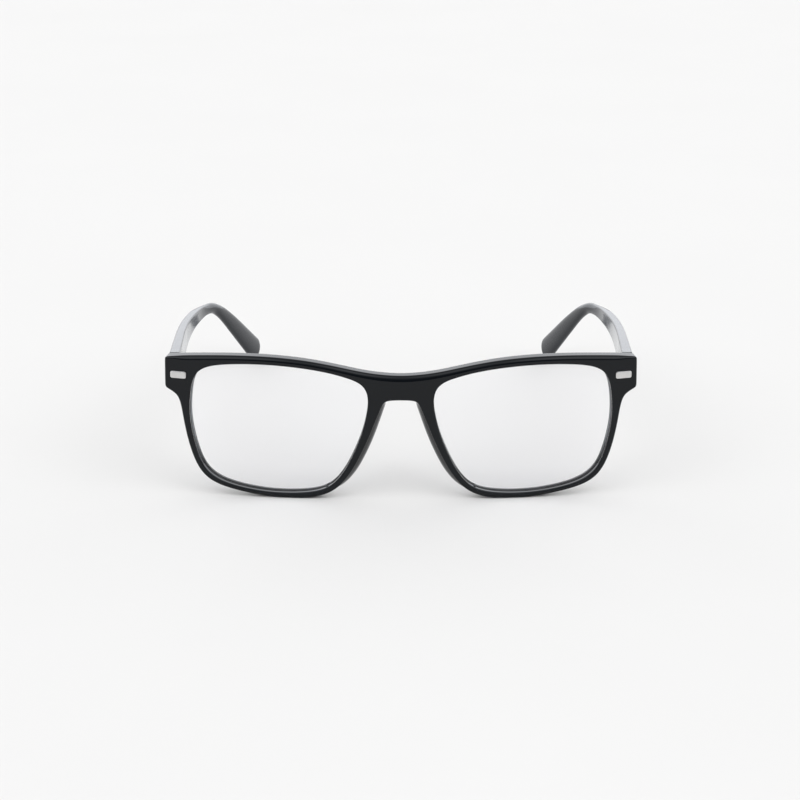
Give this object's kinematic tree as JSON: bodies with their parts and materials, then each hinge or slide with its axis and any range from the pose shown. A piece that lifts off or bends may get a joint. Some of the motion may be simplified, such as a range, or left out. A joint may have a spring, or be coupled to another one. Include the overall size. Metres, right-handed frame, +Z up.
{
  "type": "blue light glasses",
  "caption": "Full-rim black plastic glasses with clear lenses in a squared frame, metal plaques on the end pieces, and two temples that fold inward on hinges.",
  "frame": {"origin": "centre of the footprint at the height of the surface the glasses stand on", "axes": "+Z up, the front faces -Y, +X is the wearer's left, temples run back along +Y"},
  "size_m": [0.1436, 0.1352, 0.0446],
  "materials": {
    "black_plastic": "polished black acetate-like plastic",
    "temple_plastic": "polished black acetate-like plastic, faint translucency at the tips",
    "lens": "clear plano lens with a faint blue-violet anti-reflection coating",
    "plaque_metal": "fine brushed with a polished bevel",
    "hinge_steel": "barrel-polished",
    "screw_steel": "turned",
    "core_wire_steel": "drawn wire"
  },
  "bodies": {
    "front": {"front_frame": "black_plastic", "left_lens": "lens", "right_lens": "lens", "left_nose_pad": "black_plastic", "right_nose_pad": "black_plastic", "left_front_plaque": "plaque_metal", "right_front_plaque": "plaque_metal", "left_front_hinge_leaf": "hinge_steel", "right_front_hinge_leaf": "hinge_steel", "left_hinge_screw": "screw_steel", "right_hinge_screw": "screw_steel"},
    "right_temple_arm": {"right_temple": "temple_plastic", "right_core_wire": "core_wire_steel", "right_temple_hinge_leaf": "hinge_steel"},
    "left_temple_arm": {"left_temple": "temple_plastic", "left_core_wire": "core_wire_steel", "left_temple_hinge_leaf": "hinge_steel"}
  },
  "joints": [
    {"name": "right_temple_fold", "type": "hinge", "parent": "front", "child": "right_temple_arm", "pos_m": [-0.0643, -0.05628, 0.0388], "axis": [0, 0, -1], "range_deg": [0, 83]},
    {"name": "left_temple_fold", "type": "hinge", "parent": "front", "child": "left_temple_arm", "pos_m": [0.0643, -0.05628, 0.0388], "axis": [0, 0, 1], "range_deg": [0, 74]}
  ]
}
